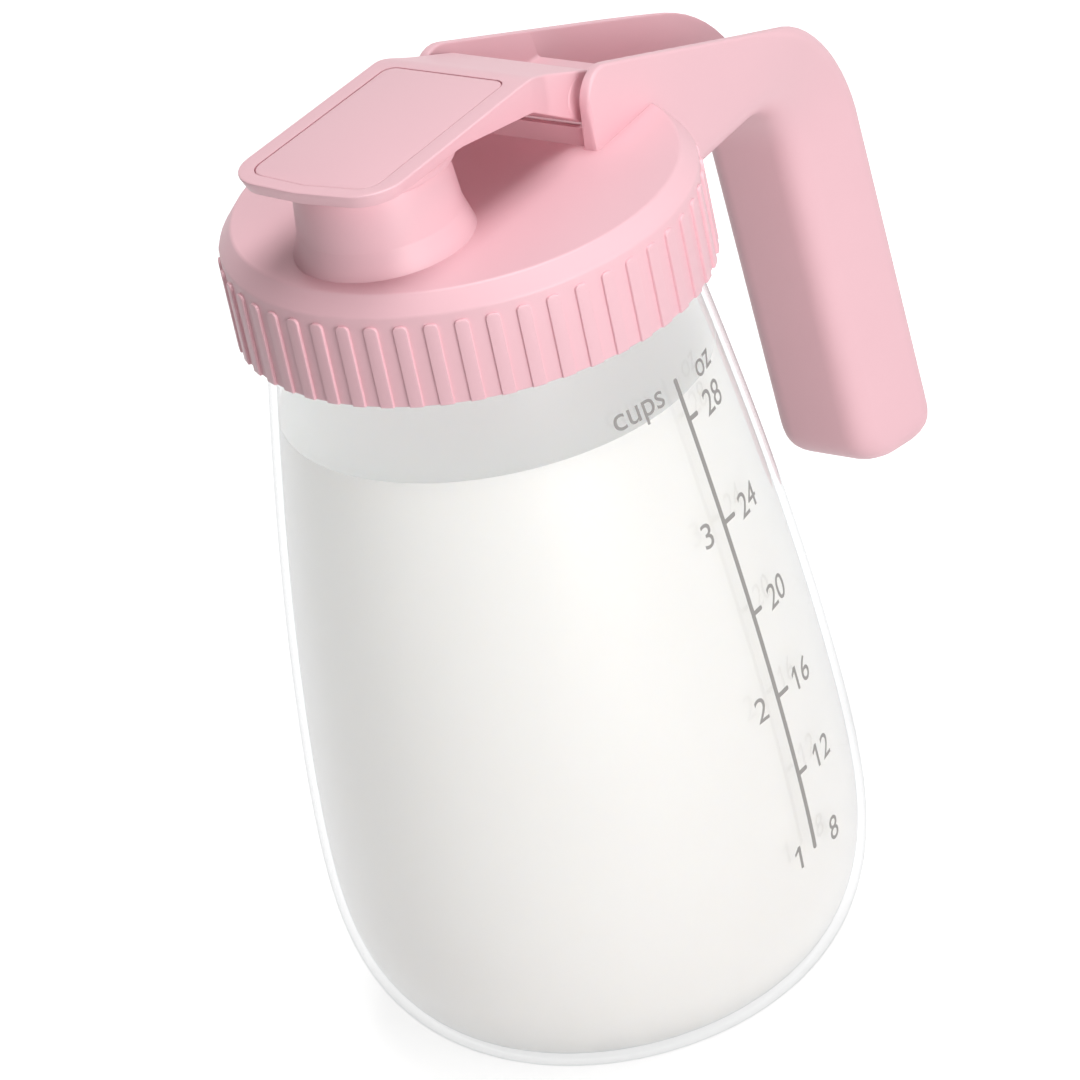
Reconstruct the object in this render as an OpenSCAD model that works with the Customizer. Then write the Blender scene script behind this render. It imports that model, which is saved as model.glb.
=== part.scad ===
// Breast milk storage container: a clear round-bellied jar with a ribbed screw lid, a pour spout,
// a flip cover with a stopper under it, and a two-armed handle that stands off the side of the lid.
// Sizes are in millimetres. The origin is the centre of the jar's base, +Z is up,
// the handle is on +X and the spout on -X.

/* [Jar] */
// Widest outer radius of the jar
belly_r = 52; // [47:0.5:60]
// Height of the widest ring above the base
belly_z = 41.5; // [30:0.5:60]
// Radius of the flat base
foot_r = 20; // [14:0.5:30]
// Outer radius where the body meets the neck
shoulder_r = 39.5; // [38.5:0.1:41]
// Height where the body meets the neck
shoulder_z = 149.4; // [130:0.5:170]
// Wall thickness of the jar
jar_wall = 1.6; // [1.2:0.1:4]
// Thickness of the jar's base
jar_base = 2.4; // [1.6:0.1:10]
// Fullness of the round bottom, where 2 is an ellipse
bottom_fullness = 2.65; // [2:0.05:3.5]
// Power of the curve from belly to neck, where 1 is a straight cone
side_power = 1.57; // [1.1:0.01:2.5]

/* [Neck and thread] */
// Outer radius of the neck
neck_r = 38.2; // [36:0.1:42]
// Height of the neck from the shoulder to the lip
neck_h = 17.1; // [16:0.1:24]
// Rise of the thread in one turn
thread_pitch = 6; // [5:0.5:8]
// Width of a thread ridge at its root
thread_w = 2.4; // [1.5:0.1:2.6]
// Height of a thread ridge above its wall
thread_depth = 2; // [1:0.1:2.5]
// Turns of ridge on the neck and in the lid
thread_turns = 1; // [0.5:0.1:1.2]
// Gap from a ridge's crest to the wall that faces it
thread_gap = 0.8; // [0.4:0.1:1.5]

/* [Lid] */
// Thickness of the skirt between the ribs
lid_wall = 3.3; // [2:0.1:5]
// Thickness of the lid's top
lid_top_t = 2.6; // [2:0.1:4]
// Gap from the skirt's lower edge to the jar's shoulder
skirt_gap = 0.6; // [0.3:0.1:2]
// Width of the bevel round the top, measured inwards
bevel_w = 2.8; // [1:0.1:6]
// Height of the bevel round the top
bevel_h = 3.5; // [1:0.1:5]
// Number of grip ribs round the skirt
rib_count = 50; // [20:1:60]
// Width of a rib
rib_w = 2.5; // [1:0.1:3]
// Height of a rib above the skirt
rib_proud = 0.7; // [0.3:0.1:1.5]
// Plain band above the ribs, up to the bevel
plain_band = 1.6; // [0.5:0.1:4]
// Thickness of the sealing ring
seal_t = 1.8; // [1:0.1:3]
// Width of the sealing ring, from its inner to its outer edge
seal_w = 5.4; // [3:0.1:7]
// Gap on each side of a soft seal at rest
seal_gap = 0.2; // [0.1:0.05:0.4]

/* [Spout] */
// Outer radius of the spout at its top
spout_r = 14.3; // [10:0.1:16]
// Outer radius of the spout above its flared foot
spout_low_r = 15.2; // [11:0.1:17]
// Outer radius of the flared foot
flare_r = 16.7; // [12:0.1:18]
// Height of the flared foot
flare_h = 4.8; // [1:0.1:7]
// Height of the spout above the lid's top
spout_h = 14.6; // [9:0.1:18]
// Thickness of the spout's wall at its top
spout_wall = 2.3; // [1.5:0.1:4]
// Gap from the spout's foot to the bevel of the lid
spout_edge = 3.3; // [1:0.1:8]

/* [Stopper] */
// Outer radius of the stopper's flange
flange_r = 15.9; // [13:0.1:16.5]
// Thickness of the stopper's flange
flange_t = 2; // [1.5:0.1:6]
// Depth of the plug below the flange
plug_h = 4.5; // [2:0.1:6]
// Taper of the plug's radius from top to tip
plug_taper = 0.8; // [0:0.1:2]
// Gap between the plug and the spout's bore
plug_gap = 0.4; // [0.3:0.05:1]
// Radius of the stem that holds the stopper in the cover
stem_r = 3; // [2:0.1:5]
// Radius of the stem's button head
head_r = 5; // [3.5:0.1:8]
// Thickness of the stem's button head
head_t = 0.9; // [0.5:0.1:1.2]

/* [Flip cover] */
// Thickness of the cover over the stopper
cover_t = 3.1; // [2.6:0.1:6]
// Thickness of the cover at its front lip
lip_t = 2.8; // [1.8:0.1:3.5]
// Reach of the cover in front of the spout's centre
cover_reach = 20.8; // [17:0.1:26]
// Half width of the cover at its front corners
cover_front_w = 17.8; // [14.5:0.1:20]
// Half width of the cover at its bend
cover_bend_w = 17.3; // [14:0.1:20]
// Distance of the bend in front of the hinge pin
bend_reach = 15.4; // [12:0.1:18]
// Depth of the cover's side at the bend
bend_depth = 7.1; // [4.5:0.1:9]
// Distance behind the spout's centre up to which the cover's underside stays level
under_level = 6.5; // [2:0.1:12]
// Rounding of the bend on the cover's upper face
bend_r = 12; // [6:0.5:20]
// Rounding of the bend on the cover's lower edge
bend_under_r = 4; // [2:0.5:8]
// Rounding of the cover's front corners
cover_corner_r = 8.5; // [3:0.1:10]
// Bow of the cover's front edge
cover_bow = 1.5; // [0.5:0.1:3]
// Thickness of the cover's walls over its hollow
cover_wall = 2.2; // [1.5:0.1:2.8]
// Depth that the inset panel sits into the cover
panel_t = 1.2; // [0.8:0.1:1.4]
// Margin of the cover round the panel at the sides
panel_side = 3.8; // [3:0.1:6]
// Margin of the cover in front of the panel
panel_front = 2.9; // [2:0.1:6]
// Margin from the panel's rear edge to the bend
panel_rear = 2.2; // [1:0.1:5]
// Rounding of the panel's front corners
panel_front_r = 4; // [2:0.1:6]
// Rounding of the panel's rear corners
panel_rear_r = 2.5; // [1:0.1:5]
// Gap all round the panel
panel_gap = 0.15; // [0.05:0.05:0.3]

/* [Hinge] */
// Distance of the hinge pin behind the lid's centre
pin_x = 22.3; // [18:0.1:26]
// Height of the hinge pin above the lid's top
pin_h = 8.3; // [7:0.1:12]
// Radius of the hinge pin
pin_r = 1.5; // [1:0.1:2]
// Running gap between the pin and the cover's bore
pin_gap = 0.06; // [0.02:0.01:0.1]
// Outer radius of the cover's knuckle
knuckle_r = 4.8; // [3.5:0.1:6]
// Gap between the cover and each arm
hinge_gap = 0.3; // [0.2:0.1:1]
// Length of pin left inside the near arm
pin_blind = 1.8; // [1:0.1:2.6]

/* [Handle] */
// Thickness of each arm
arm_t = 3; // [2.4:0.1:6]
// Half gap between the arms at the hinge
arm_half_gap = 17.1; // [13:0.1:18]
// Angle at which the arms close in towards the grip
arm_close_in = 3.6; // [0:0.1:6]
// Slope of the arms down towards the grip
arm_slope = 20.8; // [10:0.1:30]
// Distance of the arms' front edge in front of the pin
arm_front = 4.8; // [4:0.1:8]
// Height of the arms' top edge above the pin, measured over the pin
arm_over = 6.8; // [4:0.1:9]
// Radius of the arms' front top corner
arm_front_r = 6; // [1:0.1:6]
// Height of the low wall that joins the arms at the front
front_wall_h = 3.6; // [1:0.1:3.8]
// Thickness of that wall
front_wall_t = 1.6; // [1:0.1:1.8]
// Distance of that wall behind the arms' front edge
front_wall_back = 1.2; // [0.2:0.1:1.4]
// Room for fingers between the belly of the jar and the top of the grip
finger_gap = 31.9; // [22:0.1:45]
// Depth of the grip from front to rear
grip_d = 20.7; // [17:0.1:30]
// Lean of the grip away from the jar on the way down
grip_lean = 4.3; // [0:0.1:6]
// Half width of the grip's face towards the jar
grip_face_w = 10.5; // [9:0.1:13]
// Rounding of the lower edges of the arms and of the grip's edges towards the jar
edge_r = 6; // [2:0.1:7]
// Length of the grip below the arms
grip_len = 90.5; // [70:0.5:100]
// Rounding of the grip's lower end towards the jar
end_front_r = 9; // [3:0.1:10]
// Rounding of the grip's lower end at the rear
end_rear_r = 6; // [3:0.1:8]
// Rounding of the handle's outer corner
corner_r = 33; // [8:0.5:36]
// Rounding of the handle's inner corner
inner_corner_r = 17; // [8:0.5:20]
// Thickness of the handle's floor and of the grip's wall towards the jar
web_t = 3.6; // [2.5:0.1:5]
// Thickness of the back cover of the grip
back_t = 3.4; // [2:0.1:5]
// Gap round the back cover
back_gap = 0.1; // [0.05:0.05:0.3]
// Distance of the back cover's upper edge below the arms
back_drop = 17.5; // [11:0.5:25]
// Gap between the handle and the lid's ribs
rib_clear = 0.1; // [0.05:0.05:0.3]

/* [Hidden] */
$fn = 96;
// Overlap of shapes that are joined, and overshoot of cuts
sink = 0.4;
cut = 1;
// Steps in a rounded corner, in a curve of the jar and in one turn of thread
corner_steps = 8;
curve_steps = 14;
thread_steps = 36;
// Part of a turn over which a thread ridge grows to its full height
thread_lead_in = 0.08;
// Depth that the handle's inner corner is sunk into the arms and the grip
corner_bury = 0.15;

// Heights of the lid, from the jar's lip upwards
lip_z = shoulder_z + neck_h;
seal_z = lip_z + seal_gap;
under_z = seal_z + seal_t + seal_gap;
top_z = under_z + lid_top_t;
skirt_z = shoulder_z + skirt_gap;
bevel_z = top_z - bevel_h;
rib_top_z = bevel_z - plain_band;
spout_top_z = top_z + spout_h;
flange_z = spout_top_z + seal_gap;
cover_under_z = flange_z + flange_t;
cover_top_z = cover_under_z + cover_t;
panel_z = cover_top_z - panel_t;
pin_z = top_z + pin_h;

// Radii of the lid and the thread
jar_crest_r = neck_r + thread_depth;
lid_bore_r = jar_crest_r + thread_gap;
skirt_r = lid_bore_r + lid_wall;
rib_r = skirt_r + rib_proud;
top_r = skirt_r - bevel_w;
thread_low_z = skirt_z + thread_w / 2 + cut;
spout_bore_r = spout_r - spout_wall;
spout_x = -(top_r - spout_edge - flare_r);

// Places along the cover
cover_front_x = spout_x - cover_reach;
bend_x = pin_x - bend_reach;
// Angles round the knuckle where the cover's upper and lower faces meet it
knuckle_top_turn = 68;
knuckle_low_turn = 217;

// Places along the handle
arm_front_x = pin_x - arm_front;
arm_outer_w = arm_half_gap + arm_t;
arm_root_x = top_r - bevel_w;
arm_low_z = skirt_z;
// Half width of the cover's knuckle, which clears the arms as far back as the opened cover reaches between them
knuckle_w = handle_w(pin_x + bend_reach) - arm_t - hinge_gap;
grip_x = belly_r + finger_gap;
rear_x = on_grip(grip_d, edge_r)[0];
grip_rear_w = handle_w(rear_x);
// Height on the grip's rear face where the slope of the arms' top would meet it
corner_h = (arm_top_z(on_grip(grip_d, 0)[0]) - on_grip(grip_d, 0)[1])
    / (cos(grip_lean) - sin(grip_lean) * tan(arm_slope));

// Points that round one corner of an outline, from the points before and after it
function corner_arc(a, p, b, r) =
    let (
        u = (a - p) / norm(a - p),
        v = (b - p) / norm(b - p),
        half = acos(u * v) / 2,
        c = p + (u + v) / norm(u + v) * r / sin(half),
        s = p + u * r / tan(half) - c,
        e = p + v * r / tan(half) - c,
        a0 = atan2(s[1], s[0]),
        turn = atan2(s[0] * e[1] - s[1] * e[0], s * e)
    )
    [for (i = [0:corner_steps]) c + r * [cos(a0 + turn * i / corner_steps), sin(a0 + turn * i / corner_steps)]];

// An outline of corners given as [x, y, radius], each rounded to its radius
function rounded(pts) =
    let (n = len(pts), xy = [for (p = pts) [p[0], p[1]]])
    [for (i = [0:n - 1])
        each pts[i][2] > 0
            ? corner_arc(xy[(i + n - 1) % n], xy[i], xy[(i + 1) % n], pts[i][2])
            : [xy[i]]];

// The right half of an outline given from front to rear, and its mirror image
function both_sides(pts) =
    concat(pts, [for (i = [len(pts) - 1:-1:0]) [pts[i][0], -pts[i][1], pts[i][2]]]);

// Radius of the jar's outside between belly and neck, as u goes from 0 to 1
function side_r(u) = belly_r - (belly_r - shoulder_r) * pow(u, side_power);

// Round bottom of the jar, from the edge of a flat base to the belly
function bottom_curve(base_r, base_z, widest_r) =
    [for (i = [0:curve_steps])
        let (t = 90 - 90 * i / curve_steps, k = 2 / bottom_fullness)
        [base_r + (widest_r - base_r) * pow(cos(t), k), belly_z - (belly_z - base_z) * pow(sin(t), k)]];

// Side of the jar from just above the belly to the shoulder, drawn in by an offset
function side_curve(inset) =
    [for (i = [1:curve_steps])
        let (u = i / curve_steps)
        [side_r(u) - inset, belly_z + (shoulder_z - belly_z) * u]];

// Height of the handle's top edge at a distance x from the lid's axis
function arm_top_z(x) = pin_z + arm_over - (x - pin_x) * tan(arm_slope);

// A point of the leaning grip, from its depth behind the inner face and its height above the arms' underside
function on_grip(depth, h) =
    [grip_x + depth * cos(grip_lean) - h * sin(grip_lean),
        arm_low_z + depth * sin(grip_lean) + h * cos(grip_lean)];

// Outer half width of the handle at a distance x from the lid's axis
function handle_w(x) = arm_outer_w - (x - arm_front_x) * tan(arm_close_in);

// A helical ridge between two radii, with its own width at each, that fades in and out at its ends
module thread_ridge(wall_r, crest_r, start_z, start_turn) {
    wall_in = crest_r > wall_r ? wall_r - sink : wall_r + sink;
    steps = round(thread_steps * thread_turns);
    lead = thread_lead_in * thread_steps;
    rings = [for (i = [0:steps])
        let (
            grow = min(1, i / lead, (steps - i) / lead),
            a = 360 * (start_turn + i / thread_steps),
            z = start_z + thread_pitch * i / thread_steps,
            crest = wall_r + (crest_r - wall_r) * grow,
            low = min(wall_in, crest),
            high = max(wall_in, crest),
            low_w = crest > wall_in ? thread_w : thread_w / 2,
            high_w = crest > wall_in ? thread_w / 2 : thread_w,
            section = [[low, -low_w / 2], [high, -high_w / 2], [high, high_w / 2], [low, low_w / 2]]
        )
        each [for (q = section) [q[0] * cos(a), q[0] * sin(a), z + q[1]]]];
    sides = [for (i = [0:steps - 1], j = [0:3])
        let (p = 4 * i + j, q = 4 * i + (j + 1) % 4)
        each [[p, q, p + 4], [q, q + 4, p + 4]]];
    last = 4 * steps;
    ends = [[0, 2, 1], [0, 3, 2], [last, last + 1, last + 2], [last, last + 2, last + 3]];
    polyhedron(rings, concat(sides, ends), convexity = 6);
}

// The jar: round bottom, swelling side, straight neck with a thread and a flat lip
module glass_jar() {
    inner_neck_r = neck_r - jar_wall;
    outside = concat([[0, 0]], bottom_curve(foot_r, 0, belly_r), side_curve(0),
        [[neck_r, shoulder_z], [neck_r, lip_z], [inner_neck_r, lip_z]]);
    inside = concat([[0, jar_base]], bottom_curve(foot_r, jar_base, belly_r - jar_wall), side_curve(jar_wall));
    profile = concat(outside, [for (i = [len(inside) - 1:-1:0]) inside[i]]);
    color([0.92, 0.95, 0.96, 0.5])
    union() {
        rotate_extrude() polygon(profile);
        thread_ridge(neck_r, jar_crest_r, thread_low_z + thread_pitch / 2, 0);
    }
}

// Soft ring that seals the lip of the jar against the lid
module lid_gasket() {
    seal_r = lid_bore_r - thread_gap;
    color([0.95, 0.9, 0.9])
    difference() {
        translate([0, 0, seal_z]) cylinder(r = seal_r, h = seal_t);
        translate([0, 0, seal_z - cut]) cylinder(r = seal_r - seal_w, h = seal_t + 2 * cut);
    }
}

// Grip ribs round the skirt, seen from above
module rib_plan() {
    for (i = [0:rib_count - 1])
        rotate(i * 360 / rib_count)
        translate([skirt_r - sink, -rib_w / 2])
        square([rib_proud + sink, rib_w]);
}

// Lid: ribbed skirt with an inner thread, bevelled top and tapered pour spout
module lid_cap() {
    crown = [[0, under_z], [lid_bore_r, under_z], [lid_bore_r, skirt_z], [skirt_r, skirt_z],
        [skirt_r, bevel_z], [top_r, top_z], [0, top_z]];
    spout = concat([[0, top_z - sink], [flare_r, top_z - sink]],
        rounded([[flare_r, top_z, 0], [spout_low_r, top_z + flare_h, flare_h], [spout_r, spout_top_z, 0]]),
        [[0, spout_top_z]]);
    color([0.97, 0.79, 0.82])
    difference() {
        union() {
            translate([0, 0, skirt_z]) linear_extrude(rib_top_z - skirt_z) rib_plan();
            rotate_extrude() polygon(crown);
            translate([spout_x, 0, 0]) rotate_extrude() polygon(spout);
            thread_ridge(lid_bore_r, lid_bore_r - thread_depth, thread_low_z, 0);
        }
        translate([spout_x, 0, under_z - cut]) cylinder(r = spout_bore_r, h = spout_top_z - under_z + 2 * cut);
    }
}

// Outer side of the whole handle, from the front of the arms over the corner to the lower end of the grip
function handle_outline() =
    let (half_way = on_grip(0, -grip_len / 2))
    rounded([
        [arm_front_x, top_z, 0],
        [arm_front_x, arm_top_z(arm_front_x), arm_front_r],
        concat(on_grip(grip_d, corner_h), corner_r),
        concat(on_grip(grip_d, -grip_len), end_rear_r),
        concat(on_grip(0, -grip_len), end_front_r),
        concat(half_way, 0),
        [arm_root_x, half_way[1], 0],
        [arm_root_x, top_z, 0],
    ]);

// The space between the arms, open above, in front and behind
function arms_hollow() =
    let (
        over_z = arm_top_z(arm_front_x) + cut,
        open_x = rear_x + corner_r,
        wall_x = arm_front_x + front_wall_back,
        wall_top_z = top_z + front_wall_h
    )
    [[arm_front_x - cut, top_z], [arm_front_x - cut, over_z], [open_x, over_z],
        [open_x, arm_low_z + web_t], [rib_r + web_t, arm_low_z + web_t], [rib_r + web_t, top_z],
        [wall_x + front_wall_t, top_z], [wall_x + front_wall_t, wall_top_z],
        [wall_x, wall_top_z], [wall_x, top_z]];

// Plan of the space between the arms
function arms_plan() =
    let (
        front = arm_front_x - cut,
        rear = rear_x + corner_r
    )
    [[front, handle_w(front) - arm_t], [rear, handle_w(rear) - arm_t],
        [rear, arm_t - handle_w(rear)], [front, arm_t - handle_w(front)]];

// Half width of the grip at a depth behind its inner face
function grip_w(depth) = grip_face_w + (grip_rear_w - grip_face_w) * depth / grip_d;

// Section across the grip, narrow towards the jar and wide at the rear
function grip_section() =
    rounded([[0, -grip_face_w, edge_r], [0, grip_face_w, edge_r],
        [grip_d + cut, grip_w(grip_d + cut), 0], [grip_d + cut, -grip_w(grip_d + cut), 0]]);

// Section across the space inside the grip between two depths, drawn in by the wall and a gap
function grip_hollow(front, rear, gap) =
    let (inset = arm_t + gap)
    [[front, inset - grip_w(front)], [front, grip_w(front) - inset],
        [rear, grip_w(rear) - inset], [rear, inset - grip_w(rear)]];

// Extrudes a side view to the given half width on both sides
module side_slab(outline, half_w) {
    translate([0, half_w, 0]) rotate([90, 0, 0]) linear_extrude(2 * half_w) polygon(outline);
}

// Extrudes a section along the leaning grip, between two heights from the arms' underside
module along_grip(section, low, high) {
    translate([grip_x, 0, arm_low_z]) rotate([0, -grip_lean, 0])
        translate([0, 0, low]) linear_extrude(high - low) polygon(section);
}

// Half space on one side of the arms, which closes in towards the grip and is rounded along its lower edge
module arm_side(side) {
    across = 3 * arm_outer_w;
    high_z = arm_top_z(arm_front_x) + cut;
    section = rounded([[-side * across, arm_low_z, 0], [0, arm_low_z, edge_r], [0, high_z, 0],
        [-side * across, high_z, 0]]);
    translate([arm_front_x, side * arm_outer_w, 0]) rotate([0, 0, -side * arm_close_in])
        translate([-arm_front, 0, 0]) rotate([90, 0, 90]) linear_extrude(rear_x + corner_r) polygon(section);
}

// Rounded inner corner between the arms' underside and the grip
module inner_corner() {
    face_r = inner_corner_r + corner_bury;
    translate([grip_x - inner_corner_r / tan(45 + grip_lean / 2), 0, arm_low_z - inner_corner_r])
        rotate([90, 0, 0]) rotate([0, 0, grip_lean]) rotate_extrude(angle = 90 - grip_lean)
        translate([face_r, 0]) polygon(grip_section());
}

// Space that the lid takes out of the handle
module lid_room() {
    r = rib_r + rib_clear;
    room = [[0, skirt_z - cut], [r, skirt_z - cut], [r, bevel_z], [top_r + r - skirt_r, top_z], [0, top_z]];
    rotate_extrude() polygon(room);
}

// Arms and grip: a channel of two side plates and one floor, open above and behind
module handle_shell() {
    color([0.96, 0.77, 0.81])
    difference() {
        intersection() {
            side_slab(handle_outline(), arm_outer_w + cut);
            union() {
                intersection() {
                    arm_side(1);
                    arm_side(-1);
                }
                inner_corner();
                along_grip(grip_section(), -grip_len - cut, edge_r);
            }
        }
        intersection() {
            side_slab(arms_hollow(), arm_outer_w);
            translate([0, 0, arm_low_z]) linear_extrude(arm_outer_w + grip_d) polygon(arms_plan());
        }
        along_grip(grip_hollow(web_t, grip_d + cut, 0), web_t - grip_len, web_t + sink);
        lid_room();
        translate([pin_x, arm_outer_w + cut, pin_z])
            rotate([90, 0, 0]) cylinder(r = pin_r, h = arm_outer_w + cut + arm_half_gap + pin_blind);
    }
}

// Cover that closes the rear of the hollow grip, with a lip forward over its top
module grip_back() {
    low = web_t + back_gap - grip_len;
    color([0.95, 0.75, 0.79])
    union() {
        along_grip(grip_hollow(grip_d - back_t, grip_d, back_gap), low, -back_drop);
        along_grip(grip_hollow(web_t + back_gap, grip_d - back_t + sink, back_gap),
            -back_drop - back_t, -back_drop);
    }
}

// Pin through the far arm and the cover's knuckle into a blind hole in the near arm
module hinge_pin() {
    color([0.75, 0.76, 0.78])
    translate([pin_x, handle_w(pin_x) - pin_gap, pin_z])
        rotate([90, 0, 0])
        cylinder(r = pin_r, h = handle_w(pin_x) + arm_half_gap + pin_blind - 2 * pin_gap);
}

// Plan of the cover, with a bowed front edge, narrowed between the arms at its rear
function cover_plan() =
    let (neck_x = arm_front_x - hinge_gap)
    rounded(both_sides([
        [cover_front_x, 0, 0],
        [cover_front_x + cover_bow, cover_front_w, cover_corner_r],
        [bend_x, cover_bend_w, 0],
        [neck_x - knuckle_r, knuckle_w, 0],
        [pin_x + knuckle_r + cut, knuckle_w, 0],
    ]));

// Side view of the cover, from its front lip over the bend to the knuckle
function cover_side() =
    rounded([
        [cover_front_x - cut, cover_top_z - lip_t, 0],
        [cover_front_x - cut, cover_top_z, 0],
        [bend_x, cover_top_z, bend_r],
        [pin_x + knuckle_r * cos(knuckle_top_turn), pin_z + knuckle_r * sin(knuckle_top_turn), 0],
        [pin_x, pin_z, 0],
        [pin_x + knuckle_r * cos(knuckle_low_turn), pin_z + knuckle_r * sin(knuckle_low_turn), 0],
        [bend_x, cover_top_z - bend_depth, bend_under_r],
        [spout_x + under_level, cover_under_z, 0],
        [spout_x, cover_under_z, 0],
    ]);

// Hollow under the bend of the cover, behind the stopper
function cover_hollow() =
    let (
        front_x = spout_x + flange_r + cover_wall,
        rear_x = arm_front_x - cover_wall
    )
    [[front_x, pin_z - knuckle_r], [front_x, cover_top_z - panel_t - cover_wall],
        [bend_x, cover_top_z - panel_t - cover_wall], [rear_x, pin_z + knuckle_r], [rear_x, pin_z - knuckle_r]];

// Plan of the inset panel, drawn in by a gap
function panel_plan(gap) =
    let (
        front = cover_front_x + panel_front + gap,
        rear = bend_x - panel_rear - gap,
        front_w = cover_front_w - panel_side - gap,
        rear_w = cover_bend_w - panel_side - gap
    )
    rounded(both_sides([[front, 0, 0], [front + cover_bow, front_w, panel_front_r],
        [rear, rear_w, panel_rear_r]]));

// Flip cover: bent plate with a knuckle at its rear, a recess for the panel and a hole for the stopper
module flip_cover() {
    color([0.97, 0.79, 0.82])
    difference() {
        union() {
            intersection() {
                side_slab(cover_side(), cover_front_w + cut);
                translate([0, 0, pin_z - knuckle_r])
                    linear_extrude(cover_top_z - pin_z + knuckle_r + cut) polygon(cover_plan());
            }
            translate([pin_x, knuckle_w, pin_z]) rotate([90, 0, 0]) cylinder(r = knuckle_r, h = 2 * knuckle_w);
        }
        side_slab(cover_hollow(), knuckle_w - cover_wall);
        translate([0, 0, panel_z]) linear_extrude(panel_t + cut) polygon(panel_plan(0));
        translate([spout_x, 0, pin_z - knuckle_r])
            cylinder(r = flange_r + plug_gap, h = cover_under_z - pin_z + knuckle_r);
        translate([spout_x, 0, cover_under_z - cut]) cylinder(r = stem_r + plug_gap, h = cover_t + cut);
        translate([spout_x, 0, panel_z - head_t - seal_gap])
            cylinder(r = head_r + plug_gap, h = head_t + seal_gap + cut);
        translate([pin_x, knuckle_w + cut, pin_z])
            rotate([90, 0, 0]) cylinder(r = pin_r + pin_gap, h = 2 * (knuckle_w + cut));
    }
}

// Plate that lies flush in the cover's recess
module cover_panel() {
    color([0.98, 0.81, 0.84])
    translate([0, 0, panel_z]) linear_extrude(panel_t) polygon(panel_plan(panel_gap));
}

// Stopper: tapered plug, flange and a stem whose button head sits under the panel
module spout_stopper() {
    plug_r = spout_bore_r - plug_gap;
    head_z = panel_z - head_t - seal_gap / 2;
    flange_top_z = cover_under_z - seal_gap / 2;
    profile = [[0, flange_z - plug_h], [plug_r - plug_taper, flange_z - plug_h], [plug_r, flange_z],
        [flange_r, flange_z], [flange_r, flange_top_z], [stem_r, flange_top_z], [stem_r, head_z],
        [head_r, head_z], [head_r, head_z + head_t], [0, head_z + head_t]];
    color([0.95, 0.76, 0.79])
    translate([spout_x, 0, 0]) rotate_extrude() polygon(profile);
}

glass_jar();
lid_gasket();
lid_cap();
handle_shell();
grip_back();
hinge_pin();
flip_cover();
cover_panel();
spout_stopper();
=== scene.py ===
# %% [markdown]
# # A milk storage jar with a pouring lid
# The real thing is a clear jar with a screw neck, a pink lid with a pour spout, a cover that flips up on a
# hinge, and a handle that stands off the lid on two arms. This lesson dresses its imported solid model. The
# solids stay where they are, and each piece that shows is modelled again over its solid with softer edges.

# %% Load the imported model
from math import atan2, cos, pi, radians, sin, sqrt, tan

import bmesh
import bpy
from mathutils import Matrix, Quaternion, Vector


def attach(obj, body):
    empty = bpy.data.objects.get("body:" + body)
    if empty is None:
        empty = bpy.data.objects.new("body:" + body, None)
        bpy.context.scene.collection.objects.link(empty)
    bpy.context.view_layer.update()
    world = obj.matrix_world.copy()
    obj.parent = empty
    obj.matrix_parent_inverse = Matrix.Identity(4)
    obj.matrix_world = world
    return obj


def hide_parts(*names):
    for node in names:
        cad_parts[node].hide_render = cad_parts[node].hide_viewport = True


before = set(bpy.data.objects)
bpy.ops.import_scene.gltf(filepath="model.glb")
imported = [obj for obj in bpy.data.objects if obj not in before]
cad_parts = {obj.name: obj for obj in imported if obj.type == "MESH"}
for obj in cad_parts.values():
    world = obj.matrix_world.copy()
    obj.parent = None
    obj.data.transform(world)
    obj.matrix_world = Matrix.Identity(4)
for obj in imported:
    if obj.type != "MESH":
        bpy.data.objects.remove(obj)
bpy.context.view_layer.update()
scene = bpy.context.scene
scene.view_settings.view_transform = "Standard"
MM = 0.001

# %% [markdown]
# ## The camera
# The photograph looks down on the jar with a long lens, and the picture is rolled, so that the jar seems to
# lean. The same view comes from a camera on a sphere round a point on the jar's axis. It is turned to that
# point, rolled about its own line of sight, and then turned a little more, because the point isn't quite in
# the middle of the picture.

# %% Camera
PHOTO_PX = 1080
FOCAL_PX = 6554.9
SENSOR = 36
aim = Vector((0, 0, 91.3)) * MM
aim_px = Vector((538.3, 562.7))
reach = 1222.5 * MM
azimuth = radians(48.8)
height = radians(28.65)
roll = radians(-12.48)

back = Vector((-sin(azimuth) * cos(height), -cos(azimuth) * cos(height), sin(height)))
off_centre = (aim_px - Vector((PHOTO_PX, PHOTO_PX)) / 2) / FOCAL_PX
seen = Vector((off_centre.x, -off_centre.y, -1))
straight_on = Vector((0, 0, -1))
turn = back.to_track_quat("Z", "Y") @ Quaternion((0, 0, 1), roll) @ seen.rotation_difference(straight_on)
bpy.ops.object.select_all(action="DESELECT")
bpy.ops.object.camera_add(location=aim + reach * back, rotation=turn.to_euler())
camera = bpy.context.object
camera.data.sensor_width = SENSOR
camera.data.lens = FOCAL_PX / PHOTO_PX * SENSOR
scene.camera = camera
print("camera at", [round(c, 3) for c in camera.location], "lens", round(camera.data.lens, 1))

# %% [markdown]
# ## Shader maths as plain arithmetic
# A material is a tree of nodes. Written out node by node it is long and hard to follow, so one small class
# wraps an output socket. Adding or multiplying two of them adds the Math node that does it, and one method
# makes every other node from its kind, its settings and what goes into its sockets.

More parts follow.
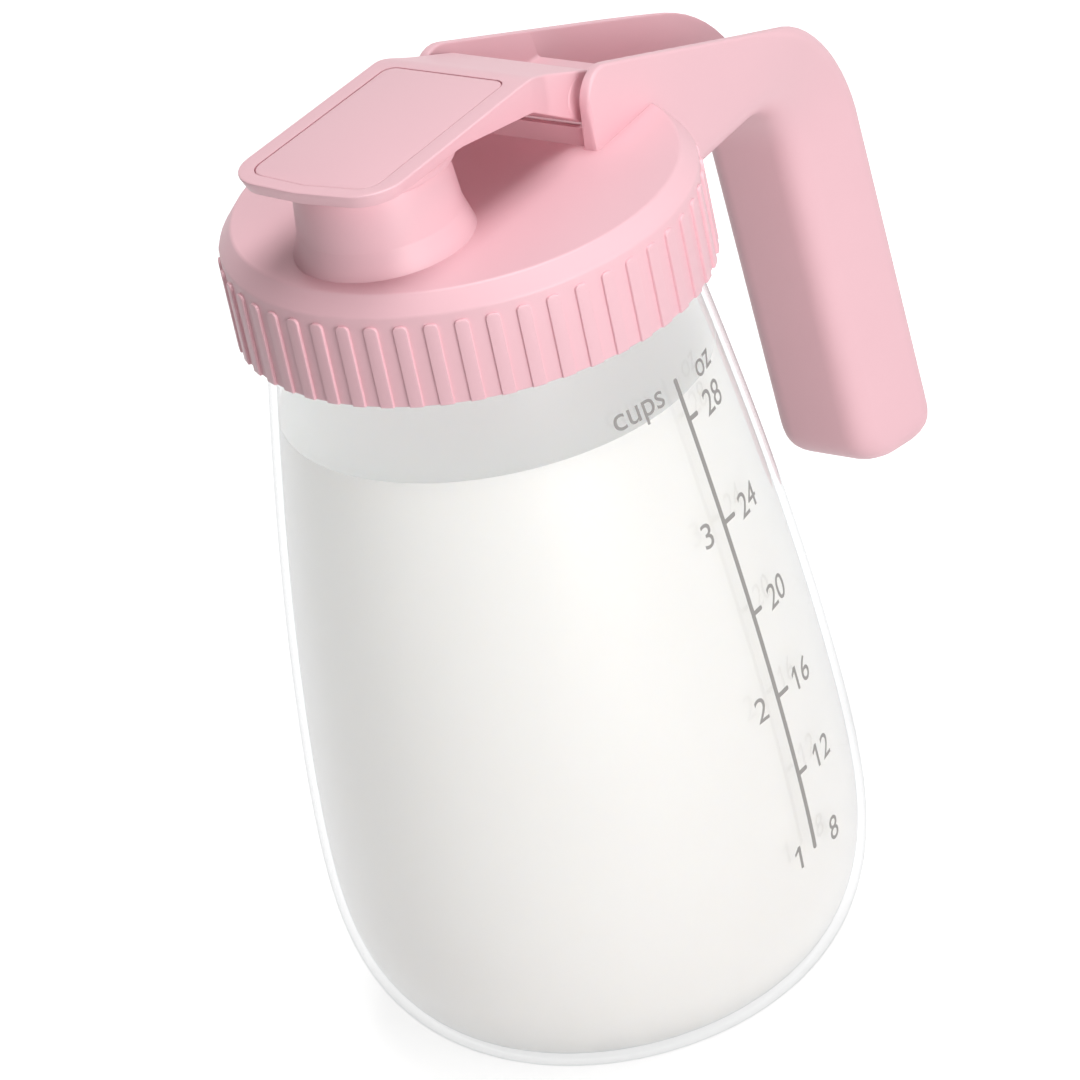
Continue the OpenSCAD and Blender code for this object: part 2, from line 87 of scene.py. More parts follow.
# %% Wire class
class Wire:
    """An output socket. Arithmetic on it adds Math nodes, also with a plain number on its left."""

    def __init__(self, socket):
        self.socket = socket

    @staticmethod
    def node(tree, kind, settings, sockets):
        """Adds a node, applies its settings, then fills or links its sockets by name or by number."""
        made = tree.nodes.new("ShaderNode" + kind)
        for name, value in settings.items():
            setattr(made, name, value)
        for key, value in sockets.items():
            usable = [s for s in made.inputs if s.enabled]
            target = usable[key] if isinstance(key, int) else next(s for s in usable if s.name == key)
            if isinstance(value, bpy.types.Node):
                value = Wire(value.outputs[0])
            if isinstance(value, Wire):
                tree.links.new(value.socket, target)
            else:
                target.default_value = value
        return made

    def maths(self, operation, first, second):
        made = Wire.node(self.socket.id_data, "Math", {"operation": operation}, {0: first, 1: second})
        return Wire(made.outputs[0])

    def __add__(self, other):
        return self.maths("ADD", self, other)

    def __radd__(self, other):
        return self.maths("ADD", other, self)

    def __sub__(self, other):
        return self.maths("SUBTRACT", self, other)

    def __rsub__(self, other):
        return self.maths("SUBTRACT", other, self)

    def __mul__(self, other):
        return self.maths("MULTIPLY", self, other)

    def __rmul__(self, other):
        return self.maths("MULTIPLY", other, self)

    def __pow__(self, other):
        return self.maths("POWER", self, other)

    def __rpow__(self, other):
        return self.maths("POWER", other, self)


def new_material(name):
    """An empty material, and the tree that its nodes go into."""
    material = bpy.data.materials.new(name)
    material.use_nodes = True
    material.node_tree.nodes.clear()
    return material, material.node_tree


def rays_that_show(tree):
    """1 for rays that show a thing to the camera, straight, in a reflection or through glass."""
    path = Wire.node(tree, "LightPath", {}, {})
    kinds = ("Is Camera Ray", "Is Glossy Ray", "Is Transmission Ray")
    camera_ray, glossy_ray, transmission_ray = [Wire(path.outputs[kind]) for kind in kinds]
    return camera_ray + glossy_ray + transmission_ray


print("shader helper ready")

# %% [markdown]
# ## Studio: white surroundings, floor and lamps
# The photograph has a white ground and broad soft light, a little stronger from the right of the camera. The
# white is only what the camera, reflections and glass see. The light on the object comes from a weaker sky
# and from three large lamps: a low one on the camera's right, a weak one further round, and one overhead. So
# pale surfaces keep their shading. The floor glows a little for the camera, and the rest of its brightness
# is real light, so the jar's shadow still shows on it.

# %% World
SKY_LIGHT = 0.17
world = bpy.data.worlds.new("studio")
world.use_nodes = True
scene.world = world
tree = world.node_tree
tree.nodes.clear()
sky = Wire.node(tree, "Background", {}, {"Color": (1, 1, 1, 1), "Strength": SKY_LIGHT})
white = Wire.node(tree, "Background", {}, {"Color": (1, 1, 1, 1), "Strength": 1})
around = Wire.node(tree, "MixShader", {}, {0: rays_that_show(tree), 1: sky, 2: white})
Wire.node(tree, "OutputWorld", {}, {"Surface": around})
print("sky light", SKY_LIGHT)

# %% Floor
FLOOR_SIZE = 9
FLOOR_GLOW = 0.72
bpy.ops.object.select_all(action="DESELECT")
bpy.ops.mesh.primitive_plane_add(size=FLOOR_SIZE)
floor = bpy.context.object
floor.name = "studio_floor"
material, tree = new_material("floor_white")
paint = Wire.node(tree, "BsdfPrincipled", {}, {"Base Color": (0.62, 0.62, 0.62, 1), "Roughness": 0.9})
glow = Wire.node(tree, "Emission", {}, {"Color": (1, 1, 1, 1), "Strength": FLOOR_GLOW})
lit = Wire.node(tree, "AddShader", {}, {0: paint, 1: glow})
shown = Wire.node(tree, "MixShader", {}, {0: rays_that_show(tree), 1: paint, 2: lit})
Wire.node(tree, "OutputMaterial", {}, {"Surface": shown})
floor.data.materials.append(material)
print("floor", FLOOR_SIZE, "m")


# %% Lamps
def lamp(name, place, size, power):
    """A square soft lamp that faces the jar, with place and size in metres and power in watts."""
    bpy.ops.object.select_all(action="DESELECT")
    facing = (Vector(place) - aim).to_track_quat("Z", "Y")
    bpy.ops.object.light_add(type="AREA", location=place, rotation=facing.to_euler())
    light = bpy.context.object
    light.name = name
    light.data.size = size
    light.data.energy = power
    print(name, power, "W")
    return light


lamp("key_lamp", (-0.6, -1.4, 0.3), 0.9, 16.5)
lamp("side_lamp", (0.25, -1.65, 0.42), 0.8, 2.5)
lamp("top_lamp", (0.1, -0.2, 1.9), 1.0, 22)

# %% [markdown]
# ## Three ways to draw
# Round pieces start as one vertex that is extruded along half of their outline, and that line is spun round
# the axis. Flat pieces start as the same kind of line, closed, filled and extruded. Pieces that change along
# their length are lofts: a stack of rings with equal numbers of points, each moved to where its section is.
# Corners are rounded in the outline itself, because a drawn arc stays clean where a bevel on many short edges
# would not.

# %% Outline helpers
SAME_SPOT = 0.001


def rounded(corners, steps=6):
    """A closed outline of (x, y, radius) corners, each drawn as an arc where its radius isn't 0."""
    points = []
    for i, (x, y, r) in enumerate(corners):
        here = Vector((x, y))
        if r == 0:
            points.append(here)
            continue
        before = (Vector(corners[i - 1][:2]) - here).normalized()
        after = (Vector(corners[(i + 1) % len(corners)][:2]) - here).normalized()
        half = before.angle(after) / 2
        middle = here + (before + after).normalized() * r / sin(half)
        start = here + before * r / tan(half) - middle
        end = here + after * r / tan(half) - middle
        first = atan2(start.y, start.x)
        sweep = atan2(start.x * end.y - start.y * end.x, start.dot(end))
        for step in range(steps + 1):
            angle = first + sweep * step / steps
            points.append(middle + r * Vector((cos(angle), sin(angle))))
    return points


def mode(name):
    """Goes to edit mode, or back to object mode."""
    bpy.ops.object.mode_set(mode=name)


def draw_line(name, points):
    """A chain of edges through points in mm, drawn by extruding one vertex. Stays in edit mode."""
    bpy.ops.object.select_all(action="DESELECT")
    bpy.ops.mesh.primitive_plane_add(size=MM)
    piece = bpy.context.object
    piece.name = name
    mode("EDIT")
    bpy.ops.mesh.merge(type="CENTER")
    bpy.ops.transform.translate(value=Vector(points[0]) * MM)
    for here, there in zip(points, points[1:]):
        step = (Vector(there) - Vector(here)) * MM
        bpy.ops.mesh.extrude_region_move(TRANSFORM_OT_translate={"value": step})
    return piece


def close_up(merge=SAME_SPOT):
    """Merges doubled vertices of the mesh in edit mode and points its faces outwards."""
    bpy.ops.mesh.select_all(action="SELECT")
    bpy.ops.mesh.remove_doubles(threshold=merge * MM)
    bpy.ops.mesh.normals_make_consistent(inside=False)


def spun(name, half_outline, steps=128, centre_x=0):
    """A turned piece: half of its outline, as (radius, height) in mm, spun round an upright axis."""
    piece = draw_line(name, [(centre_x + r, 0, z) for r, z in half_outline])
    bpy.ops.mesh.select_all(action="SELECT")
    bpy.ops.mesh.spin(steps=steps, angle=2 * pi, center=(centre_x * MM, 0, 0), axis=(0, 0, 1))
    close_up()
    mode("OBJECT")
    return piece


def filled(name, points):
    """A flat face inside a closed outline through points in mm. Stays in edit mode."""
    piece = draw_line(name, list(points) + [points[0]])
    bpy.ops.mesh.select_all(action="SELECT")
    bpy.ops.mesh.remove_doubles(threshold=SAME_SPOT * MM)
    bpy.ops.mesh.edge_face_add()
    return piece


def prism(name, points, step):
    """A closed flat outline through points in mm, filled and extruded by a step in mm."""
    piece = filled(name, points)
    bpy.ops.mesh.extrude_region_move(TRANSFORM_OT_translate={"value": Vector(step) * MM})
    close_up()
    mode("OBJECT")
    return piece


def loft(name, rings):
    """A closed tube through rings of points in mm, which all have the same number of points."""
    count = len(rings[0])
    bpy.ops.object.select_all(action="DESELECT")
    bpy.ops.mesh.primitive_circle_add(vertices=count, radius=1, fill_type="NGON")
    piece = bpy.context.object
    piece.name = name
    mode("EDIT")
    bpy.ops.mesh.select_all(action="SELECT")
    for _ in rings[1:]:
        bpy.ops.mesh.extrude_region_move(TRANSFORM_OT_translate={"value": (0, 0, 1)})
    mode("OBJECT")
    first = piece.data.vertices[0].co
    start = atan2(first.y, first.x)
    for vertex in piece.data.vertices:
        share = (atan2(vertex.co.y, vertex.co.x) - start) / (2 * pi)
        vertex.co = Vector(rings[round(vertex.co.z)][round(share * count) % count]) * MM
    mode("EDIT")
    close_up()
    mode("OBJECT")
    return piece


print("outline helpers ready")


# %% Finishing helpers
def pick(piece):
    """Makes one piece the only selected one."""
    bpy.ops.object.select_all(action="DESELECT")
    piece.select_set(True)
    bpy.context.view_layer.objects.active = piece


def add_modifier(piece, kind, settings):
    """Adds a modifier, applies its settings and then the modifier itself."""
    pick(piece)
    bpy.ops.object.modifier_add(type=kind)
    added = piece.modifiers[-1]
    for name, value in settings.items():
        setattr(added, name, value)
    bpy.ops.object.modifier_apply(modifier=added.name)


def combine(piece, other, operation):
    """Cuts another shape out of a piece, or fuses the two, and removes the other shape."""
    add_modifier(piece, "BOOLEAN", {"operation": operation, "solver": "EXACT", "object": other})
    bpy.data.objects.remove(other)


def join(piece, others):
    """Puts other objects into the mesh of a piece."""
    pick(piece)
    for other in others:
        other.select_set(True)
    bpy.ops.object.join()


def smooth(piece, angle=32):
    """Smooth shading, apart from edges that turn by more than the angle."""
    pick(piece)
    bpy.ops.object.shade_smooth_by_angle(angle=radians(angle))


def hand_over(piece, body, material, nodes=()):
    """Gives a finished piece its material, the body that it rides on and the solids that it stands for."""
    piece.data.materials.clear()
    piece.data.materials.append(material)
    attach(piece, body)
    if nodes:
        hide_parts(*nodes)
    print(piece.name, "rides on", body, "with", len(piece.data.polygons), "faces")


print("finishing helpers ready")

# %% [markdown]
# ## Clear glass
# The jar is clear and thin, with a faint grey line along its outline, where sight runs a long way through the
# wall. Glass that bends light would be the exact way, but it is slow, and lamps hardly find their way through
# it. A thin wall bends light very little, so this glass lets rays pass straight, dims them where it is seen
# edge on, and adds reflections that grow steeply with the slant, much as real ones do. The Fresnel node isn't
# used, because on the inner faces of the wall it would turn every slanting ray back.

# %% Glass
FACE_SHINE = 0.03
EDGE_SHINE = 0.55
SHINE_POWER = 4
EDGE_GREY = 0.9
GREY_POWER = 8
clear_glass, tree = new_material("clear_glass")
place = Wire.node(tree, "TexCoord", {}, {})
waves = Wire.node(tree, "TexNoise", {}, {"Vector": Wire(place.outputs["Object"]), "Scale": 40, "Detail": 2})
ripple = Wire.node(tree, "Bump", {}, {"Strength": 0.03, "Distance": 0.0004, "Height": waves})
shine = Wire.node(tree, "BsdfPrincipled", {}, {
    "Base Color": (1, 1, 1, 1),
    "Metallic": 1,
    "Roughness": 0.02 + Wire(waves.outputs[0]) * 0.03,
    "Normal": ripple,
})
clear = Wire.node(tree, "BsdfTransparent", {}, {"Color": (0.99, 0.993, 0.993, 1)})
grey = Wire.node(tree, "BsdfTransparent", {}, {"Color": (0.45, 0.46, 0.47, 1)})
slant = Wire(Wire.node(tree, "LayerWeight", {}, {"Blend": 0.5}).outputs["Facing"])
through = Wire.node(tree, "MixShader", {}, {0: slant ** GREY_POWER * EDGE_GREY, 1: clear, 2: grey})
mirror = FACE_SHINE + slant ** SHINE_POWER * EDGE_SHINE
mixed = Wire.node(tree, "MixShader", {}, {0: mirror, 1: through, 2: shine})
Wire.node(tree, "OutputMaterial", {}, {"Surface": mixed})
print(clear_glass.name, "made")

# %% [markdown]
# ## The jar
# The jar is blown or pressed glass, so it is round. A lathe-like spin of its wall section makes it in one
# step: up the outside from the foot over the belly to the neck, over the lip, and down the inside. The round
# bottom is a superellipse, which is fuller than an ellipse, and the side draws in by a power curve. The
# thread on the neck is a loft along a screw line, and it fades out at its ends.

# %% Jar
BELLY_R = 52
BELLY_Z = 41.5
FOOT_R = 20
FOOT_RING_R = 17.5
RECESS_R = 15
RECESS_DEPTH = 0.6
FULLNESS = 2.65
SHOULDER_R = 39.5
SHOULDER_Z = 149.4
SIDE_POWER = 1.57
NECK_R = 38.2
LIP_Z = 166.5
LIP_EDGE = 0.7
JAR_WALL = 1.6
JAR_BASE = 2.4


def jar_line(inset, base_z, steps=28):
    """(radius, height) points of the jar's wall, from the edge of its flat base up to the shoulder."""
    line = []
    for i in range(steps + 1):
        up = pi / 2 * i / steps
        reach_out = sin(up) ** (2 / FULLNESS)
        drop = max(0, cos(up)) ** (2 / FULLNESS)
        line.append((FOOT_R + (BELLY_R - inset - FOOT_R) * reach_out, BELLY_Z - (BELLY_Z - base_z) * drop))
    for i in range(1, steps + 1):
        rise = i / steps
        radius = BELLY_R - inset - (BELLY_R - SHOULDER_R) * rise ** SIDE_POWER
        line.append((radius, BELLY_Z + (SHOULDER_Z - BELLY_Z) * rise))
    return line


foot = [(0, RECESS_DEPTH), (RECESS_R, RECESS_DEPTH), (FOOT_RING_R, 0)]
lip = rounded([(NECK_R, SHOULDER_Z, 0), (NECK_R, LIP_Z, LIP_EDGE), (NECK_R - JAR_WALL, LIP_Z, LIP_EDGE)])[:-1]
outside = foot + jar_line(0, 0) + [tuple(p) for p in lip]
inside = jar_line(JAR_WALL, JAR_BASE)[::-1] + [(0, JAR_BASE)]
jar = spun("jar_body", outside + inside)
print("jar has", len(jar.data.polygons), "faces")

# %% Thread ridges
THREAD_PITCH = 6
THREAD_W = 2.4
THREAD_DEPTH = 2
THREAD_SINK = 0.3
THREAD_EDGE = 0.2
THREAD_STEPS = 72
FADE = 0.08


def thread(name, wall_r, out, start_z):
    """One turn of ridge on a wall, towards the outside or the inside, that fades in and out at its ends."""
    rings = []
    for i in range(THREAD_STEPS + 1):
        share = i / THREAD_STEPS
        grow = min(1, (share + 0.01) / FADE, (1.01 - share) / FADE)
        angle = 2 * pi * share
        z = start_z + THREAD_PITCH * share
        root = wall_r - out * THREAD_SINK
        crest = wall_r + out * THREAD_DEPTH * grow
        ridge = rounded([(root, z - THREAD_W / 2, 0), (crest, z - THREAD_W / 4, THREAD_EDGE),
                         (crest, z + THREAD_W / 4, THREAD_EDGE), (root, z + THREAD_W / 2, 0)], 2)
        rings.append([(p.x * cos(angle), p.x * sin(angle), p.y) for p in ridge])
    return loft(name, rings)


SKIRT_Z = 150.0
low_thread_z = SKIRT_Z + THREAD_W / 2 + 1
join(jar, [thread("jar_thread", NECK_R, 1, low_thread_z + THREAD_PITCH / 2)])
smooth(jar)
hand_over(jar, "jar", clear_glass, ["glass_jar"])

# %% [markdown]
# ## Milk
# The milk fills the jar to just under its top mark. It is a turned shape too, a hair smaller than the inside
# of the jar, so that the glass keeps an inner face of its own, with a small rise where it wets the wall.
# Milk scatters light under its surface, which softens its shading. The pink lid tints the light that falls
# into the jar, and yet the milk in the photograph is white. So two more lamps light the milk alone: a cool
# one from above, and one that fills its darker side.

# %% Milk
MILK_Z = 131.5
MILK_GAP = 0.12
MENISCUS = 0.9
MENISCUS_W = 3.0
MENISCUS_STEPS = 6
LEVEL_R = 20
milk_low = JAR_BASE + MILK_GAP
wetted = [(r, z) for r, z in jar_line(JAR_WALL + MILK_GAP, milk_low, steps=40) if z < MILK_Z]
(r_before, z_before), (r_last, z_last) = wetted[-2:]
edge_r = r_last + (r_last - r_before) * (MILK_Z - z_last) / (z_last - z_before)
climb = []
for i in range(MENISCUS_STEPS + 1):
    share = i / MENISCUS_STEPS
    climb.append((edge_r - MENISCUS_W * share ** 1.5, MILK_Z + MENISCUS * (1 - share) ** 2))
milk = spun("milk", [(0, milk_low)] + wetted + climb + [(LEVEL_R, MILK_Z), (0, MILK_Z)])
smooth(milk)

material, tree = new_material("milk")
place = Wire.node(tree, "TexCoord", {}, {})
cloud = Wire.node(tree, "TexNoise", {}, {"Vector": Wire(place.outputs["Object"]), "Scale": 22, "Detail": 3})
tint = Wire.node(tree, "Mix", {"data_type": "RGBA"}, {
    "Factor": cloud, "A": (0.85, 0.82, 0.795, 1), "B": (0.875, 0.845, 0.82, 1)})
gloss = 0.32 + Wire(cloud.outputs[0]) * 0.08
milk_shader = Wire.node(tree, "BsdfPrincipled", {}, {
    "Base Color": Wire(tint.outputs[2]),
    "Roughness": gloss,
    "Subsurface Weight": 0.25,
    "Subsurface Radius": (1, 0.9, 0.75),
    "Subsurface Scale": 0.004,
})
Wire.node(tree, "OutputMaterial", {}, {"Surface": milk_shader})
hand_over(milk, "jar", material)

# %% Milk lamps
only_milk = bpy.data.collections.new("only_milk")
only_milk.objects.link(milk)
over_milk = lamp("over_milk_lamp", (0, 0, 1.6), 0.6, 11)
over_milk.data.color = (0.78, 1, 1)
beside_milk = lamp("beside_milk_lamp", (-1.3, 0.5, 0.5), 0.9, 5)
for light in (over_milk, beside_milk):
    light.light_linking.receiver_collection = only_milk
    light.light_linking.blocker_collection = only_milk

# %% [markdown]
# ## Printed scale
# The jar's scale is a thin layer of grey ink: an upright line with short marks, ounces on its right and cups
# on its left. Flat strips and text are made in front of the jar, turned into meshes, joined, and projected
# onto the glass with a Shrinkwrap modifier. Solidify then gives the ink its thickness. The ink casts no
# shadow, because on the milk behind the clear glass each figure would show twice.

# %% Scale line and marks
SCALE_X = -0.5
LINE_W = 1.0
MARK_W = 0.9
IN_FRONT_Y = -60
LINE_LOW_Z = 38.6
LINE_TOP_Z = 137.2
OUNCE_Z = {28: 128.9, 24: 107.8, 20: 88.8, 16: 71.4, 12: 54.8}
LONG_MARKS = (24, 16)
LONG_MARK = 3.7
SHORT_MARK = 2.9
CUT_EVERY = 2.5


def strip(name, centre, size, round_ends):
    """A flat strip in front of the jar, given in mm, with rounded ends, cut across so that it can bend."""
    bpy.ops.object.select_all(action="DESELECT")
    bpy.ops.mesh.primitive_plane_add(size=1, location=Vector((centre[0], IN_FRONT_Y, centre[1])) * MM,
                                     rotation=(radians(90), 0, 0))
    piece = bpy.context.object
    piece.name = name
    piece.scale = (size[0] * MM, size[1] * MM, 1)
    bpy.ops.object.transform_apply(location=True, rotation=True, scale=True)
    mode("EDIT")
    bpy.ops.mesh.bevel(offset=round_ends * MM, segments=4, affect="VERTICES")
    cuts = int(size[1] / CUT_EVERY)
    for i in range(1, cuts):
        z = centre[1] + size[1] * (i / cuts - 0.5)
        bpy.ops.mesh.select_all(action="SELECT")
        bpy.ops.mesh.bisect(plane_co=(0, 0, z * MM), plane_no=(0, 0, 1))
    mode("OBJECT")
    return piece


line_h = LINE_TOP_Z - LINE_LOW_Z
scale_print = strip("scale_print", (SCALE_X, LINE_LOW_Z + line_h / 2), (LINE_W, line_h), LINE_W * 0.45)
marks = []
for ounces, z in OUNCE_Z.items():
    length = LONG_MARK if ounces in LONG_MARKS else SHORT_MARK
    marks.append(strip("mark", (SCALE_X + length / 2, z), (length, MARK_W), MARK_W * 0.4))
join(scale_print, marks)
print("scale line", round(line_h, 1), "mm,", len(marks), "marks")

# %% Scale figures and words
FLAG_W = 1.1
FLAG_LAP = 0.1
FLAG_TIP = 0.6
FLAG_ROOT = 0.9
INK_LIFT = 0.01
INK_T = 0.03
DIGIT_SIZE = 6.9
DIGIT_DROP = 0.4
WORD_SIZE = 6.6
OUNCE_X = 8.3
# Each row has the words, the x and z of their middle, and their size
labels = [(str(ounces), OUNCE_X, z - DIGIT_DROP, DIGIT_SIZE) for ounces, z in OUNCE_Z.items()]
labels += [("8", 6.6, 38.5, DIGIT_SIZE), ("oz", 9.0, 135.6, WORD_SIZE), ("cups", -10.4, 136.2, WORD_SIZE)]
labels += [("3", -5.4, 107.6, DIGIT_SIZE), ("2", -5.4, 71.2, DIGIT_SIZE), ("1", -4.9, 39.0, DIGIT_SIZE)]


def label(words, x, z, size):
    """A piece of text in front of the jar, centred on a point in mm, made a mesh."""
    bpy.ops.object.select_all(action="DESELECT")
    bpy.ops.object.text_add(location=Vector((x, IN_FRONT_Y, z)) * MM, rotation=(radians(90), 0, 0))
    text = bpy.context.object
    text.data.body = words
    text.data.size = size * MM
    text.data.align_x = "CENTER"
    text.data.align_y = "CENTER"
    bpy.ops.object.convert(target="MESH")
    bpy.ops.object.transform_apply(location=True, rotation=True, scale=True)
    return bpy.context.object


def flag(figure):
    """The slanting stroke on the left of a figure 1, which this font draws as a bare upright."""
    left = min(v.co.x for v in figure.data.vertices) / MM + FLAG_LAP
    top = max(v.co.z for v in figure.data.vertices) / MM
    tip = left - FLAG_W
    low = top - FLAG_W
    corners = [(left, top), (tip, low), (tip, low - FLAG_TIP), (left, top - FLAG_ROOT)]
    piece = filled("flag", [(x, IN_FRONT_Y, z) for x, z in corners])
    mode("OBJECT")
    return piece


for row in labels:
    figure = label(*row)
    if row[0].startswith("1"):
        join(figure, [flag(figure)])
    join(scale_print, [figure])
add_modifier(scale_print, "SHRINKWRAP", {
    "target": jar, "wrap_method": "PROJECT", "wrap_mode": "ABOVE_SURFACE", "offset": INK_LIFT * MM,
    "use_project_y": True, "use_positive_direction": True, "use_negative_direction": False})
add_modifier(scale_print, "SOLIDIFY", {"thickness": INK_T * MM, "offset": 1})
mode("EDIT")
close_up(0.0001)
mode("OBJECT")
print("printed", len(labels), "labels")

# %% Ink
material, tree = new_material("grey_ink")
place = Wire.node(tree, "TexCoord", {}, {})
speck = Wire.node(tree, "TexNoise", {}, {"Vector": Wire(place.outputs["Object"]), "Scale": 3000, "Detail": 2})
tint = Wire.node(tree, "Mix", {"data_type": "RGBA"}, {
    "Factor": speck, "A": (0.275, 0.26, 0.25, 1), "B": (0.335, 0.32, 0.31, 1)})
ink_shader = Wire.node(tree, "BsdfPrincipled", {}, {
    "Base Color": Wire(tint.outputs[2]),
    "Roughness": 0.5 + Wire(speck.outputs[0]) * 0.2,
})
Wire.node(tree, "OutputMaterial", {}, {"Surface": ink_shader})
scale_print.visible_shadow = False
hand_over(scale_print, "jar", material)

# %% [markdown]
# ## Pink plastic
# Lid, handle and cover are moulded in one pale pink plastic with a satin skin. Its colour is nearly even. A
# fine grain, a fraction of a millimetre wide, breaks up the gloss, and a slow mottle over some centimetres
# keeps large faces from looking flat.

# %% Plastic
def satin(name, pale, deep, rough, grain_scale):
    """A satin moulded finish between two close colours, with a fine grain in its gloss and its surface."""
    made, nodes = new_material(name)
    where = Wire(Wire.node(nodes, "TexCoord", {}, {}).outputs["Object"])
    mottle = Wire.node(nodes, "TexNoise", {}, {"Vector": where, "Scale": 45, "Detail": 2})
    grain = Wire.node(nodes, "TexNoise", {}, {"Vector": where, "Scale": grain_scale, "Detail": 3})
    colour = Wire.node(nodes, "Mix", {"data_type": "RGBA"}, {"Factor": mottle, "A": pale, "B": deep})
    skin = Wire.node(nodes, "Bump", {}, {"Strength": 0.06, "Distance": 0.00008, "Height": grain})
    shader = Wire.node(nodes, "BsdfPrincipled", {}, {
        "Base Color": Wire(colour.outputs[2]),
        "Roughness": rough + (Wire(grain.outputs[0]) - 0.5) * 0.12,
        "Normal": skin,
    })
    Wire.node(nodes, "OutputMaterial", {}, {"Surface": shader})
    print(name, "made")
    return made


satin_pink = satin("satin_pink", (0.87, 0.532, 0.585, 1), (0.85, 0.518, 0.57, 1), 0.42, 3500)
plug_silicone = satin("plug_silicone", (0.84, 0.505, 0.555, 1), (0.82, 0.49, 0.54, 1), 0.6, 2200)

# %% [markdown]
# ## The lid
# A screw lid is a turned crown with a skirt, a bevel and a flat top. The spout is a second turned shape on an
# axis of its own, fused to it, and a turned bore goes through both. The grip ribs are one small rounded bar,
# which a spin with duplicates repeats round the skirt.

# %% Lid crown and spout
LID_BORE_R = 41.0
SKIRT_R = 44.3
TOP_R = 41.5
BEVEL_Z = 167.8
UNDER_Z = 168.7
TOP_Z = 171.3
SPOUT_X = -21.5
SPOUT_TOP_Z = 185.9
SPOUT_FOOT_R = 16.7
SPOUT_NECK_R = 15.2
SPOUT_TOP_R = 14.3
SPOUT_FLARE_H = 4.8
SPOUT_SINK = 0.4
SPOUT_BORE_R = 12.0
MOUTH_R = SPOUT_BORE_R + 0.7
MOUTH_DEPTH = 0.6

crown = rounded([(0, UNDER_Z, 0), (LID_BORE_R, UNDER_Z, 0.6), (LID_BORE_R, SKIRT_Z, 0.4),
                 (SKIRT_R, SKIRT_Z, 0.15), (SKIRT_R, BEVEL_Z, 1.2), (TOP_R, TOP_Z, 1.0), (0, TOP_Z, 0)], 4)
lid = spun("ribbed_lid", [tuple(p) for p in crown], 200)
root_z = TOP_Z - SPOUT_SINK
spout = rounded([(0, root_z, 0), (SPOUT_FOOT_R, root_z, 0), (SPOUT_FOOT_R, TOP_Z, 0),
                 (SPOUT_NECK_R, TOP_Z + SPOUT_FLARE_H, 1.5), (SPOUT_TOP_R, SPOUT_TOP_Z, 0.8),
                 (0, SPOUT_TOP_Z, 0)], 5)
combine(lid, spun("spout_wall", [tuple(p) for p in spout], 96, SPOUT_X), "UNION")
bore = [(0, UNDER_Z - 1), (SPOUT_BORE_R, UNDER_Z - 1), (SPOUT_BORE_R, SPOUT_TOP_Z - MOUTH_DEPTH),
        (MOUTH_R, SPOUT_TOP_Z + 0.05), (MOUTH_R, SPOUT_TOP_Z + 1), (0, SPOUT_TOP_Z + 1)]
combine(lid, spun("spout_bore", bore, 96, SPOUT_X), "DIFFERENCE")
print("lid crown has", len(lid.data.polygons), "faces")

# %% Lid ribs and thread
RIB_COUNT = 50
RIB_W = 2.6
RIB_R = 44.85
RIB_TOP_Z = 166.2
RIB_SINK = 0.5
RIB_EDGE = 0.18
RIB_END_R = 0.9
RIB_LOW_Z = SKIRT_Z + 0.05
rib_front = rounded([(-RIB_W / 2, RIB_LOW_Z, 0), (RIB_W / 2, RIB_LOW_Z, 0),
                     (RIB_W / 2, RIB_TOP_Z, RIB_END_R), (-RIB_W / 2, RIB_TOP_Z, RIB_END_R)], 4)
rib_depth = RIB_R - SKIRT_R + RIB_SINK
ribs = prism("ribs", [(SKIRT_R - RIB_SINK, p.x, p.y) for p in rib_front], (rib_depth, 0, 0))
mode("EDIT")
bpy.context.tool_settings.mesh_select_mode = (False, True, False)
mesh = bmesh.from_edit_mesh(ribs.data)
for edge in mesh.edges:
    edge.select_set(all(v.co.x > (RIB_R - 0.01) * MM for v in edge.verts))
bmesh.update_edit_mesh(ribs.data)
bpy.ops.mesh.bevel(offset=RIB_EDGE * MM, segments=3, affect="EDGES")
bpy.context.tool_settings.mesh_select_mode = (True, False, False)
bpy.ops.mesh.select_all(action="SELECT")
bpy.ops.mesh.spin(steps=RIB_COUNT - 1, dupli=True, angle=2 * pi * (RIB_COUNT - 1) / RIB_COUNT,
                  center=(0, 0, 0), axis=(0, 0, 1))
close_up()
mode("OBJECT")
join(lid, [ribs, thread("lid_thread", LID_BORE_R, -1, low_thread_z)])
smooth(lid)
hand_over(lid, "lid", satin_pink, ["lid_cap"])

# %% [markdown]
# ## The handle
# Two arms rise from the lid, slope down, bend over and end in a grip that hangs beside the jar. It is one
# channel: open above between the arms, and closed at the rear of the grip by a back cover. So the outside is
# a loft of rounded sections along a bent path, and a second loft, one wall smaller, cuts the channel out.
# Bending a straight bar would squash its inner corner, where a loft keeps every section under control.

# %% Handle path
ARM_FRONT_X = 17.5
ARM_LOW_Z = 150.0
ARM_W = 20.1
ARM_T = 3.0
ARM_TOP_T = 2.2
ARM_EDGE = 0.7
GRIP_EDGE = 3.5
CLOSE_IN = tan(radians(3.6))
SLOPE = tan(radians(20.8))
PIN_X = 22.3
PIN_Z = 179.6
PIN_R = 1.5
ARM_OVER = 6.8
GRIP_X = 83.9
GRIP_D = 20.7
GRIP_LEN = 90.5
GRIP_REAR_X = 104.1
LEAN = radians(4.3)
GRIP_FACE_W = 10.5
INNER_R = 17
OUTER_R = 33
FLOOR_T = 3.6


def arm_top(x):
    """Height of the arms' upper edge at a place x."""
    return PIN_Z + ARM_OVER - (x - PIN_X) * SLOPE


